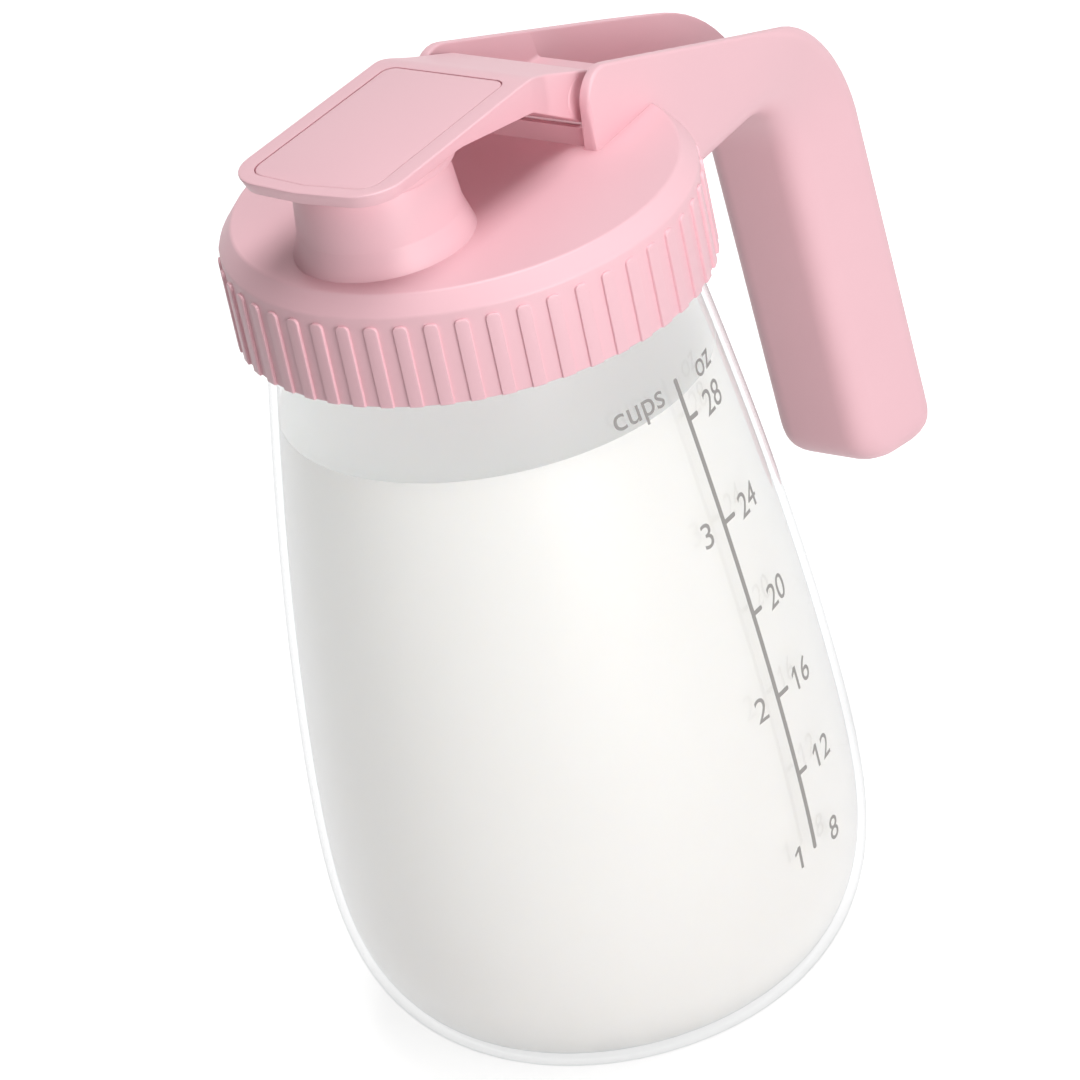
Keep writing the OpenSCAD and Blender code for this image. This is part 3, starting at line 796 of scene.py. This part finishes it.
def on_grip(depth, h):
    """Side view place of a point of the grip, from its depth behind the inner face and its height."""
    return Vector((GRIP_X + depth * cos(LEAN) - h * sin(LEAN), ARM_LOW_Z + depth * sin(LEAN) + h * cos(LEAN)))


def half_width(x):
    """Outer half width of the arms, which close in towards the grip."""
    return ARM_W - (x - ARM_FRONT_X) * CLOSE_IN


def along(line, share):
    """The point at a share of the length of a line."""
    lengths = [(b - a).length for a, b in zip(line, line[1:])]
    left = share * sum(lengths)
    for a, b, length in zip(line, line[1:], lengths):
        if left <= length:
            return a.lerp(b, left / length)
        left -= length
    return line[-1]


def eased(share):
    """A share that sets off and arrives gently."""
    return share * share * (3 - 2 * share)


def round_off(distance, radius):
    """How far a rounded edge has drawn in at a distance from its end."""
    return radius - sqrt(radius ** 2 - max(0, radius - distance) ** 2)


bend_x = GRIP_X - INNER_R / tan(pi / 4 + LEAN / 2)
bend_h = -INNER_R / tan(pi / 4 + LEAN / 2)
rear_half = half_width(GRIP_REAR_X)
corner_h = (arm_top(on_grip(GRIP_D, 0).x) - on_grip(GRIP_D, 0).y) / (cos(LEAN) - sin(LEAN) * SLOPE)
corner = on_grip(GRIP_D, corner_h)
print("handle bends from x", round(bend_x, 1), "to a rear half width of", round(rear_half, 2))

# %% Handle stations
FRONT_R = 6
SOFT_FRONT = 1.0
LOW_EDGE = 6
END_FRONT_R = 9
END_REAR_R = 6
END_SIDE_R = 4
ARM_STATIONS = (26, 31, 36, 41, 44, 46, 48, 50, 54, 58, 62, 65)
BEND_STEPS = 18
GRIP_STEPS = 10
END_STEPS = 10
front_arc = rounded([(ARM_FRONT_X, ARM_LOW_Z, 0), (ARM_FRONT_X, arm_top(ARM_FRONT_X), FRONT_R),
                     (bend_x, arm_top(bend_x), 0)], 8)[1:-1]
top_line = front_arc + [Vector((x, arm_top(x))) for x in ARM_STATIONS]
stations = []
for p in top_line:
    drawn_in = round_off(p.x - ARM_FRONT_X, SOFT_FRONT)
    width = half_width(p.x) - drawn_in
    stations.append((Vector((p.x, ARM_LOW_Z)), p, width, width, LOW_EDGE, ARM_EDGE))

outer_line = rounded([(bend_x, arm_top(bend_x), 0), (corner.x, corner.y, OUTER_R),
                      (*on_grip(GRIP_D, bend_h), 0)], 24)
for i in range(BEND_STEPS + 1):
    share = i / BEND_STEPS
    angle = (pi / 2 - LEAN) * share
    inner = Vector((bend_x + INNER_R * sin(angle), ARM_LOW_Z - INNER_R + INNER_R * cos(angle)))
    outer = along(outer_line, share)
    outer_w = max(rear_half, half_width(outer.x))
    inner_w = half_width(bend_x) + (GRIP_FACE_W - half_width(bend_x)) * eased(share)
    outer_edge = ARM_EDGE + (GRIP_EDGE - ARM_EDGE) * eased(min(1, 1.5 * share))
    stations.append((inner, outer, inner_w, outer_w, LOW_EDGE, outer_edge))

straight = [bend_h - (GRIP_LEN - END_FRONT_R + bend_h) * i / GRIP_STEPS for i in range(1, GRIP_STEPS + 1)]
rounding = [-GRIP_LEN + END_FRONT_R * (1 - sin(pi / 2 * i / END_STEPS)) for i in range(1, END_STEPS + 1)]
for h in straight + rounding:
    to_end = h + GRIP_LEN
    front = round_off(to_end, END_FRONT_R)
    rear = GRIP_D - round_off(to_end, END_REAR_R)
    side = round_off(to_end, END_SIDE_R)
    edge = min(LOW_EDGE, 0.45 * (rear - front))
    widths = (GRIP_FACE_W - side, rear_half - side)
    stations.append((on_grip(front, h), on_grip(rear, h), *widths, edge, min(GRIP_EDGE, edge)))
print(len(stations), "stations along the handle")


# %% Handle body
def section(inner, outer, outline):
    """Places an outline of (depth, half width) points in the plane of a station."""
    deep = (outer - inner).normalized()
    return [(inner.x + deep.x * p.x, p.y, inner.y + deep.y * p.x) for p in outline]


rings = []
for inner, outer, inner_w, outer_w, inner_edge, outer_edge in stations:
    depth = (outer - inner).length
    outline = rounded([(0, -inner_w, inner_edge), (0, inner_w, inner_edge),
                       (depth, outer_w, outer_edge), (depth, -outer_w, outer_edge)])
    rings.append(section(inner, outer, outline))
handle = loft("handle", rings)
print("handle body has", len(handle.data.polygons), "faces")

# %% Channel between the arms and in the grip
WALL_TOP_Z = 174.9
WALL_FRONT_X = 18.7
WALL_REAR_X = 20.3
WALL_EDGE = 0.2
LID_BACK_X = 48.6
FLOOR_REAR_X = 58
FLOOR_EDGE = 0.8
RIM_EDGE = 0.5
FLARE = 0.8
OVER = 3


def height_at(line, x):
    """Height of a side view line, given from front to rear, at a place x."""
    for a, b in zip(line, line[1:]):
        if a.x <= x <= b.x:
            return a.lerp(b, (x - a.x) / (b.x - a.x)).y
    return line[-1].y if x > line[-1].x else line[0].y


def channel_ring(station, floor):
    """A section of the channel, wider towards its rim, where it flares out to round the arms' edges."""
    inner, outer, inner_w, outer_w, _, outer_edge = station
    depth = (outer - inner).length
    floor_w = inner_w + (outer_w - inner_w) * floor / depth - ARM_T
    rim_t = ARM_TOP_T + (ARM_T - ARM_TOP_T) * (outer_edge - ARM_EDGE) / (GRIP_EDGE - ARM_EDGE)
    rim_w = outer_w - rim_t
    top = depth + 0.02
    half = [(floor, floor_w, FLOOR_EDGE), (top, rim_w, RIM_EDGE),
            (top, rim_w + FLARE, 0), (depth + OVER, rim_w + FLARE, 0)]
    outline = rounded([(d, -w, r) for d, w, r in half[::-1]] + half)
    return section(inner, outer, outline)


def arm_ring(x, floor_z):
    """A section of the channel across the arms at a place x, down to a height."""
    top = Vector((x, height_at(top_line, x)))
    station = (Vector((x, ARM_LOW_Z)), top, half_width(x), half_width(x), LOW_EDGE, ARM_EDGE)
    return channel_ring(station, floor_z - ARM_LOW_Z)


lid_floor = TOP_Z - 0.1
arm_floor = ARM_LOW_Z + FLOOR_T
fronts = [p.x for p in top_line if p.x < WALL_FRONT_X]
behind = [p.x for p in top_line if WALL_REAR_X < p.x < LID_BACK_X - 0.5]
floors = [(ARM_FRONT_X - 1, lid_floor)] + [(x, lid_floor) for x in fronts]
floors += [(WALL_FRONT_X, lid_floor), (WALL_FRONT_X + WALL_EDGE, WALL_TOP_Z)]
floors += [(WALL_REAR_X - WALL_EDGE, WALL_TOP_Z), (WALL_REAR_X, lid_floor)]
floors += [(x, lid_floor) for x in behind]
floors += [(LID_BACK_X - WALL_EDGE, lid_floor), (LID_BACK_X, arm_floor), (FLOOR_REAR_X, arm_floor)]
channel = [arm_ring(x, floor_z) for x, floor_z in floors]
for station in stations:
    in_bend = station[0].x >= bend_x - 0.01
    in_grip_end = station[0].y < on_grip(0, FLOOR_T - GRIP_LEN).y
    if in_bend and not in_grip_end:
        channel.append(channel_ring(station, FLOOR_T))
print(len(channel), "rings of channel")

# %% Cut the channel, the lid's room and the pin's hole
ROOM_R = 45.1
ROOM_TOP_Z = RIB_TOP_Z + 0.1
SEAT = 0.4
PIN_STEPS = 32
HOLE_Y = -18.9
HOLE_LEN = 42


def pin_circle(radius, y):
    """A circle of points round the hinge's axis at a place y."""
    turns = [2 * pi * i / PIN_STEPS for i in range(PIN_STEPS)]
    return [(PIN_X + radius * cos(t), y, PIN_Z + radius * sin(t)) for t in turns]


combine(handle, loft("handle_channel", channel), "DIFFERENCE")
room = [(0, SKIRT_Z - 1), (ROOM_R, SKIRT_Z - 1), (ROOM_R, ROOM_TOP_Z), (SKIRT_R - SEAT, ROOM_TOP_Z),
        (SKIRT_R - SEAT, BEVEL_Z - SEAT), (TOP_R - SEAT, TOP_Z - SEAT), (0, TOP_Z - SEAT)]
combine(handle, spun("lid_room", room, 160), "DIFFERENCE")
combine(handle, prism("pin_hole", pin_circle(PIN_R, HOLE_Y), (0, HOLE_LEN, 0)), "DIFFERENCE")
smooth(handle)
hand_over(handle, "lid", satin_pink, ["handle_shell"])

# %% [markdown]
# ## Grip back
# The hollow grip is closed at its rear by a snap-in cover. It is a plate with a lip at its top, drawn as a
# side view and extruded to both sides. A bevel makes the fine seam that shows round such a cover.

# %% Grip back
BACK_T = 3.4
BACK_DROP = 17.5
BACK_GAP = 0.12
BACK_EDGE = 0.35
LIP_LAP = 0.4
back_low = FLOOR_T + BACK_GAP - GRIP_LEN


def grip_half(depth):
    """Half width of the grip's hollow at a depth, less the cover's gap."""
    return GRIP_FACE_W + (rear_half - GRIP_FACE_W) * depth / GRIP_D - ARM_T - BACK_GAP


def slab(name, front, rear, low, high):
    """A bar across the grip's hollow between two depths and two heights."""
    near = grip_half(front)
    far = grip_half(rear)
    outline = [(front, -near), (front, near), (rear, far), (rear, -far)]
    ends = [[(on_grip(d, h).x, w, on_grip(d, h).y) for d, w in outline] for h in (low, high)]
    return loft(name, ends)


grip_back = slab("grip_back_cover", GRIP_D - BACK_T, GRIP_D, back_low, -BACK_DROP)
back_lip = slab("back_lip", FLOOR_T + BACK_GAP, GRIP_D - BACK_T + LIP_LAP, -BACK_DROP - BACK_T, -BACK_DROP)
combine(grip_back, back_lip, "UNION")
add_modifier(grip_back, "BEVEL", {
    "width": BACK_EDGE * MM, "segments": 3, "limit_method": "ANGLE", "angle_limit": radians(40)})
smooth(grip_back)
hand_over(grip_back, "lid", satin_pink, ["grip_back"])

# %% [markdown]
# ## The flip cover
# The cover is a plate that lies over the spout and bends down to its hinge. It starts flat, as a loft between
# two plans. The lower plan is a little smaller, so that the sides draw in. The rim is bevelled while the
# plate is flat, where that is easy. Cuts across it then let its upper and lower faces follow the side view.
# The knuckle is a short turned bar fused to its rear.

# %% Cover plate
COVER_FRONT_X = -42.3
COVER_BOW = 1.5
COVER_W = 17.8
BEND_W = 17.3
BEND_X = 6.9
NARROW_X = ARM_FRONT_X - 5
FRONT_CORNER_R = 8.5
KNUCKLE_R = 4.8
KNUCKLE_W = 15.5
COVER_TOP_Z = 191.2
REAR_X = PIN_X + 1.8
FLAT_T = 3.1
SIDE_DRAFT = 1.2
RIM_TOP = 0.5
RIM_LOW = 0.3
WIDE_CUT = 2
FINE_CUT = 0.6
FINE_FROM_X = 4


def cover_plan(inset):
    """Plan of the cover, drawn in at its front and its sides by an inset."""
    front = COVER_FRONT_X + inset
    half = [(front, 0, 0), (front + COVER_BOW, COVER_W - inset, FRONT_CORNER_R - inset),
            (BEND_X, BEND_W - inset, 8), (NARROW_X, KNUCKLE_W - inset / 2, 6), (REAR_X, KNUCKLE_W, 0)]
    return rounded(half + [(x, -w, r) for x, w, r in half[:0:-1]], 8)


lower_plan = [(p.x, p.y, 0) for p in cover_plan(SIDE_DRAFT)]
upper_plan = [(p.x, p.y, FLAT_T) for p in cover_plan(0)]
cover = loft("flip_cover_plate", [lower_plan, upper_plan])


def select_rim(piece, z):
    """Selects the edges between a flat face at a height in mm and the upright faces round it."""
    bpy.context.tool_settings.mesh_select_mode = (False, True, False)
    bpy.ops.mesh.select_all(action="DESELECT")
    in_edit = bmesh.from_edit_mesh(piece.data)
    for edge in in_edit.edges:
        level = all(abs(v.co.z - z * MM) < 1e-6 for v in edge.verts)
        edge.select_set(level and min(abs(face.normal.z) for face in edge.link_faces) < 0.5)
    bmesh.update_edit_mesh(piece.data)


mode("EDIT")
for z, size in ((FLAT_T, RIM_TOP), (0, RIM_LOW)):
    select_rim(cover, z)
    bpy.ops.mesh.bevel(offset=size * MM, segments=4, affect="EDGES")
across = [COVER_FRONT_X + WIDE_CUT * i for i in range(1, 24)]
across += [FINE_FROM_X + FINE_CUT * i for i in range(1, 33)]
for x in across:
    bpy.ops.mesh.select_all(action="SELECT")
    bpy.ops.mesh.bisect(plane_co=(x * MM, 0, 0), plane_no=(1, 0, 0))
bpy.context.tool_settings.mesh_select_mode = (True, False, False)
mode("OBJECT")
print("flat cover has", len(cover.data.vertices), "vertices")


# %% Cover's side view
LIP_T = 2.8
COVER_UNDER_Z = 188.1
UNDER_LEVEL_X = -15.0
BEND_DEPTH = 7.1
REAR_TOP_Z = 184.05
top_side = rounded([(COVER_FRONT_X - 1, COVER_TOP_Z, 0), (BEND_X, COVER_TOP_Z, 12),
                    (REAR_X, REAR_TOP_Z, 0)], 10)
low_side = rounded([(COVER_FRONT_X - 1, COVER_TOP_Z - LIP_T, 0), (SPOUT_X, COVER_UNDER_Z, 0),
                    (UNDER_LEVEL_X, COVER_UNDER_Z, 12), (BEND_X, COVER_TOP_Z - BEND_DEPTH, 4),
                    (PIN_X - 3.8, PIN_Z - 2.9, 0), (PIN_X, PIN_Z - 1, 0), (REAR_X, PIN_Z, 0)], 6)
for vertex in cover.data.vertices:
    x = vertex.co.x / MM
    z = vertex.co.z / MM
    top = height_at(top_side, x)
    low = height_at(low_side, x)
    shrink = min(1, (top - low) / FLAT_T)
    if z > FLAT_T / 2:
        vertex.co.z = (top - (FLAT_T - z) * shrink) * MM
    else:
        vertex.co.z = (low + z * shrink) * MM
knuckle_line = rounded([(0, -KNUCKLE_W, 0), (KNUCKLE_R, -KNUCKLE_W, 0.5), (KNUCKLE_R, KNUCKLE_W, 0.5),
                        (0, KNUCKLE_W, 0)], 4)
knuckle = draw_line("knuckle", [(PIN_X, p.y, PIN_Z + p.x) for p in knuckle_line])
bpy.ops.mesh.select_all(action="SELECT")
bpy.ops.mesh.spin(steps=64, angle=2 * pi, center=(PIN_X * MM, 0, PIN_Z * MM), axis=(0, 1, 0))
close_up()
mode("OBJECT")
combine(cover, knuckle, "UNION")
print("bent cover has", len(cover.data.polygons), "faces")

# %% Recess, pocket and hollow of the cover
PANEL_Z = 190.0
PANEL_SIDE = 3.8
PANEL_FRONT_X = COVER_FRONT_X + 2.9
PANEL_REAR_X = BEND_X - 2.2
FLANGE_R = 15.9
STEM_HOLE_R = 3.4
HEAD_ROOM_R = 5.4
HEAD_Z = 188.9
BELOW_Z = 170
ABOVE_Z = 193
HOLLOW_LOW_Z = 174
HOLLOW_TOP_Z = 187.8
HOLLOW_REAR_X = 15.3
HOLLOW_REAR_Z = 184.4
BORE_LEN = 40


def panel_plan(gap):
    """Plan of the inset panel, drawn in by a gap."""
    front = PANEL_FRONT_X + gap
    rear = PANEL_REAR_X - gap
    inset = PANEL_SIDE + gap
    half = [(front, 0, 0), (front + COVER_BOW, COVER_W - inset, 4), (rear, BEND_W - inset, 2.5)]
    return rounded(half + [(x, -w, r) for x, w, r in half[:0:-1]], 8)


combine(cover, prism("recess", [(p.x, p.y, PANEL_Z) for p in panel_plan(0)], (0, 0, 3)), "DIFFERENCE")
pocket_r = FLANGE_R + 0.4
pocket_z = COVER_UNDER_Z + 0.05
pocket = [(0, BELOW_Z), (pocket_r, BELOW_Z), (pocket_r, pocket_z), (STEM_HOLE_R, pocket_z),
          (STEM_HOLE_R, HEAD_Z), (HEAD_ROOM_R, HEAD_Z), (HEAD_ROOM_R, ABOVE_Z), (0, ABOVE_Z)]
combine(cover, spun("stopper_pocket", pocket, 96, SPOUT_X), "DIFFERENCE")
hollow_w = KNUCKLE_W - 2.2
hollow_x = SPOUT_X + FLANGE_R + 2.2
hollow = [(hollow_x, HOLLOW_LOW_Z), (hollow_x, HOLLOW_TOP_Z), (BEND_X, HOLLOW_TOP_Z),
          (HOLLOW_REAR_X, HOLLOW_REAR_Z), (HOLLOW_REAR_X, HOLLOW_LOW_Z)]
hollow_side = [(x, -hollow_w, z) for x, z in hollow]
combine(cover, prism("bend_hollow", hollow_side, (0, 2 * hollow_w, 0)), "DIFFERENCE")
bore_r = PIN_R + 0.06
combine(cover, prism("pin_bore", pin_circle(bore_r, -BORE_LEN / 2), (0, BORE_LEN, 0)), "DIFFERENCE")
smooth(cover)
hand_over(cover, "cover", satin_pink, ["flip_cover"])

# %% [markdown]
# ## The inset panel
# A thin plate lies flush in the cover, with a fine groove round it. It carries nothing here: its face is
# plain. The groove comes from the gap to its recess and from a small bevel round its upper edge.

# %% Panel
PANEL_T = 1.2
PANEL_GAP = 0.15
PANEL_EDGE = 0.35
panel = prism("cover_inset_panel", [(p.x, p.y, PANEL_Z) for p in panel_plan(PANEL_GAP)], (0, 0, PANEL_T))
mode("EDIT")
select_rim(panel, PANEL_Z + PANEL_T)
bpy.ops.mesh.bevel(offset=PANEL_EDGE * MM, segments=3, affect="EDGES")
bpy.context.tool_settings.mesh_select_mode = (True, False, False)
mode("OBJECT")
smooth(panel)
hand_over(panel, "cover", satin_pink, ["cover_panel"])

# %% [markdown]
# ## The stopper
# Under the cover a soft plug closes the spout. It is turned: a tapered plug, a flange that shows as a rim
# under the cover, and a stem whose button head holds it. Silicone is duller than the plastic round it.

# %% Stopper
FLANGE_Z = 186.1
FLANGE_TOP_Z = 188.0
PLUG_LOW_Z = FLANGE_Z - 4.5
PLUG_LOW_R = 10.8
PLUG_R = 11.6
STEM_R = 3
BUTTON_R = 5
BUTTON_Z = 189.0
BUTTON_TOP_Z = 189.9
plug = rounded([(0, PLUG_LOW_Z, 0), (PLUG_LOW_R, PLUG_LOW_Z, 0.8), (PLUG_R, FLANGE_Z, 0.3),
                (FLANGE_R, FLANGE_Z, 0.6), (FLANGE_R, FLANGE_TOP_Z, 0.6), (STEM_R, FLANGE_TOP_Z, 0.3),
                (STEM_R, BUTTON_Z, 0.3), (BUTTON_R, BUTTON_Z, 0.3), (BUTTON_R, BUTTON_TOP_Z, 0.3),
                (0, BUTTON_TOP_Z, 0)], 4)
stopper = spun("spout_plug", [tuple(p) for p in plug], 96, SPOUT_X)
smooth(stopper)
hand_over(stopper, "cover", plug_silicone, ["spout_stopper"])

# %% [markdown]
# ## Gasket and hinge pin
# These two are right as plain solids, because hardly anything of them shows. They only get better finishes:
# pale silicone with a faint bloom, and steel that was drawn along its length.

# %% Gasket and pin finishes
pale_silicone = satin("pale_silicone", (0.86, 0.80, 0.78, 1), (0.80, 0.74, 0.72, 1), 0.55, 1800)
material, tree = new_material("drawn_steel")
place = Wire.node(tree, "TexCoord", {}, {})
stretched = Wire.node(tree, "Mapping", {}, {"Vector": Wire(place.outputs["Object"]), "Scale": (1, 0.03, 1)})
streak = Wire.node(tree, "TexNoise", {}, {"Vector": stretched, "Scale": 9000, "Detail": 2})
steel_shader = Wire.node(tree, "BsdfPrincipled", {}, {
    "Base Color": (0.62, 0.62, 0.64, 1),
    "Metallic": 1,
    "Roughness": 0.28 + Wire(streak.outputs[0]) * 0.2,
})
Wire.node(tree, "OutputMaterial", {}, {"Surface": steel_shader})
for node, finish in (("lid_gasket", pale_silicone), ("hinge_pin", material)):
    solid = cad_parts[node]
    solid.data.materials.clear()
    solid.data.materials.append(finish)
    print(node, "takes", finish.name)
